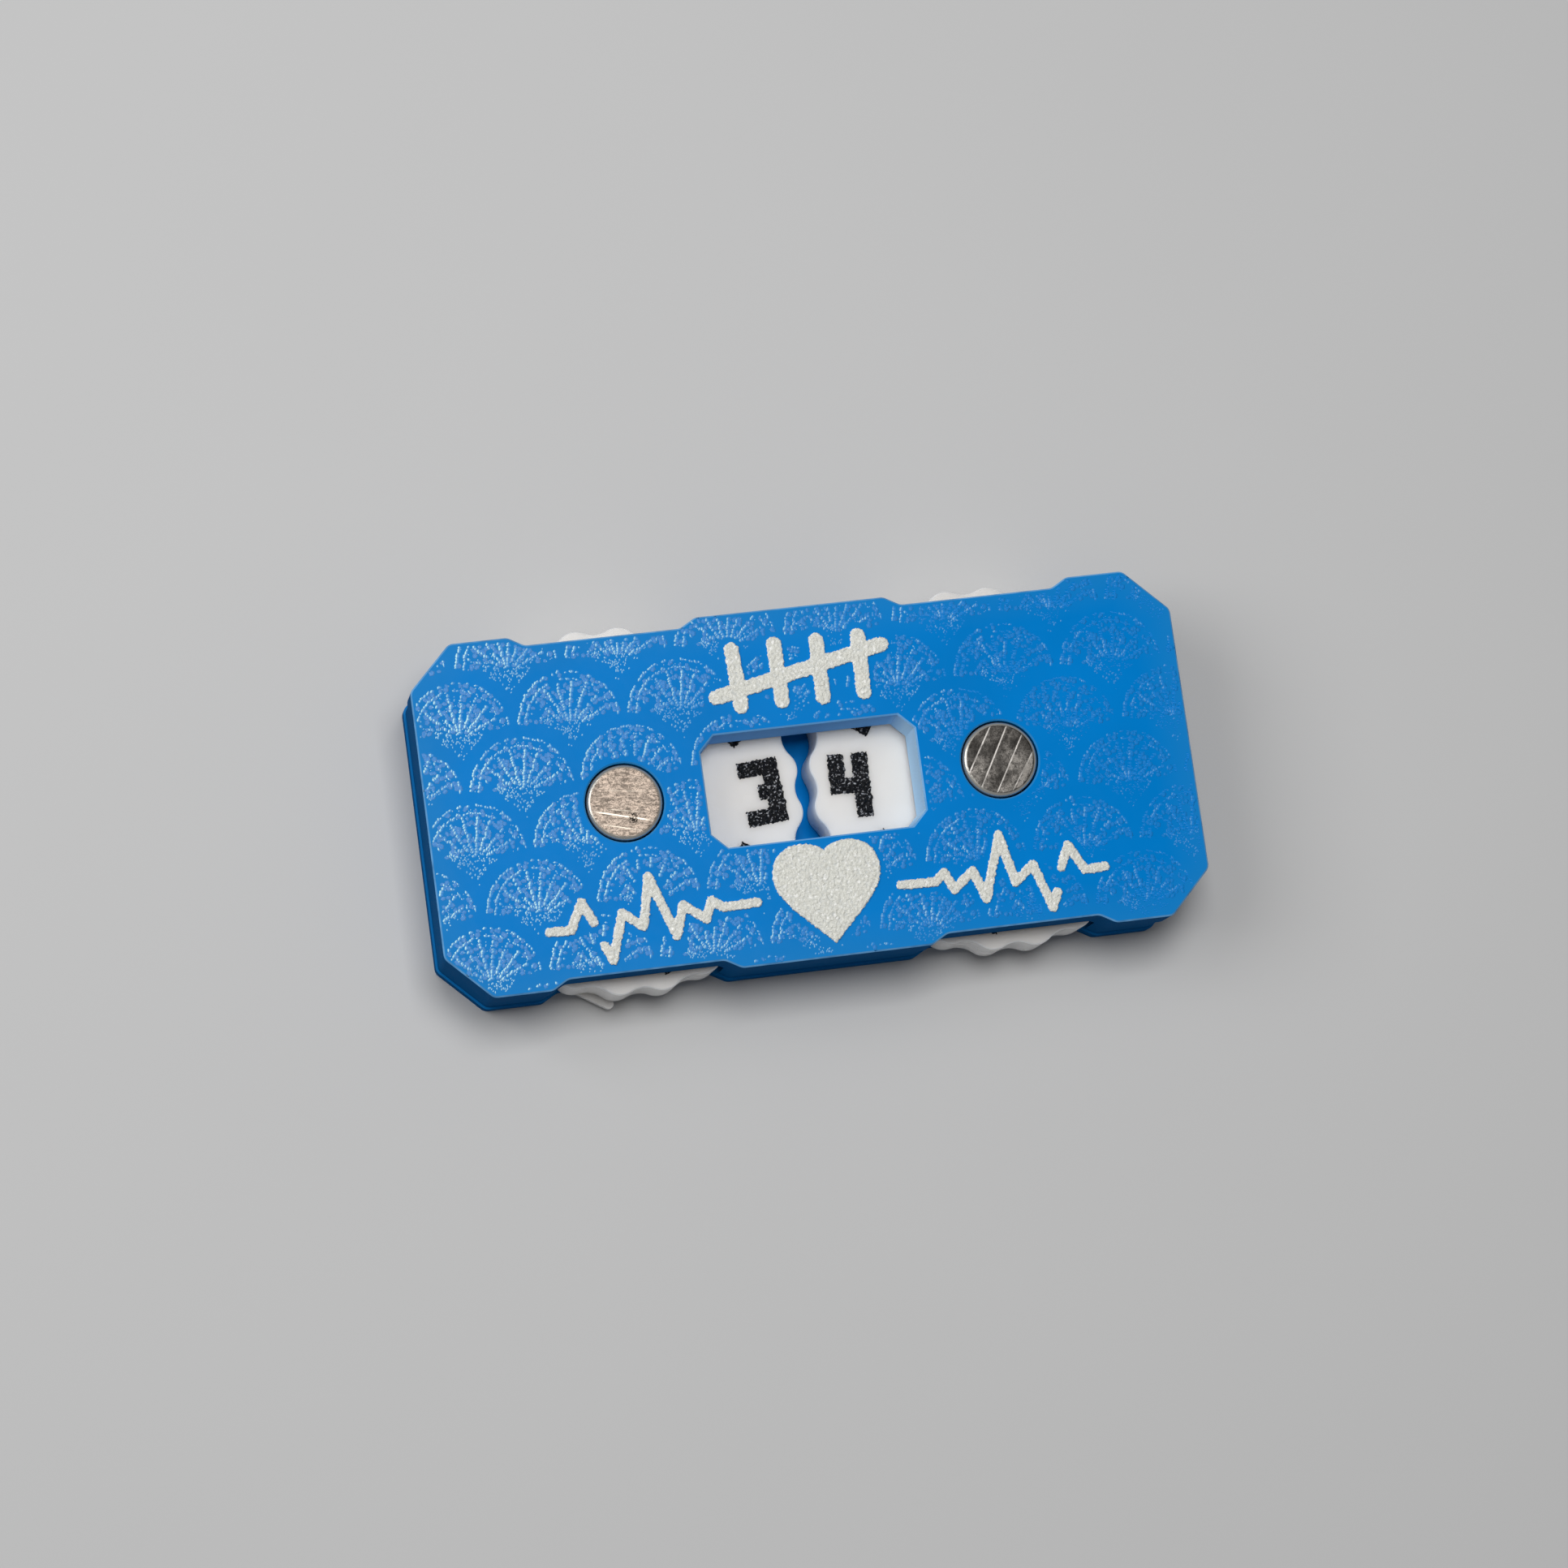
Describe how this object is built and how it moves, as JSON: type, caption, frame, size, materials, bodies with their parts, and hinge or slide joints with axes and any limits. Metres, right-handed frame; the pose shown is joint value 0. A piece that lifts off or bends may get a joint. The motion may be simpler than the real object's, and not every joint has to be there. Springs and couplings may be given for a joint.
{
  "type": "life counter",
  "caption": "Flat case with cut corners and a window over two wavy-rimmed number wheels, which turn on disc magnets.",
  "frame": {"origin": "middle of the flat rear face, on which the counter lies", "axes": "+X along the case, from the tens wheel to the units wheel; +Y towards the upper edge; +Z out of the front face"},
  "size_m": [0.0512, 0.0252, 0.0081],
  "materials": {
    "case_plastic": "opaque light blue sheet, satin face with polished cut edges",
    "wheel_plastic": "opaque white sheet with cut edges",
    "magnet_nickel": "nickel plating, lightly scratched",
    "white_ink": "raised off-white print with a fine grain",
    "clear_ink": "raised clear gloss print",
    "black_ink": "raised black print with a gloss grain"
  },
  "bodies": {
    "case": {"front_plate": "case_plastic", "back_plate": "case_plastic", "left_end_spacer": "case_plastic", "right_end_spacer": "case_plastic", "upper_spacer": "case_plastic", "lower_spacer": "case_plastic", "left_click_spring": "wheel_plastic", "right_click_spring": "wheel_plastic", "left_front_magnet": "magnet_nickel", "left_middle_magnet": "magnet_nickel", "left_rear_magnet": "magnet_nickel", "right_front_magnet": "magnet_nickel", "right_middle_magnet": "magnet_nickel", "right_rear_magnet": "magnet_nickel"},
    "tens_wheel": {"left_wheel": "wheel_plastic"},
    "units_wheel": {"right_wheel": "wheel_plastic"}
  },
  "joints": [
    {"name": "left_wheel_turn", "type": "hinge", "parent": "case", "child": "tens_wheel", "pos_m": [-0.0126, 0, 0.0031], "axis": [0, 0, 1], "continuous": true},
    {"name": "right_wheel_turn", "type": "hinge", "parent": "case", "child": "units_wheel", "pos_m": [0.0126, 0, 0.0031], "axis": [0, 0, 1], "continuous": true}
  ]
}
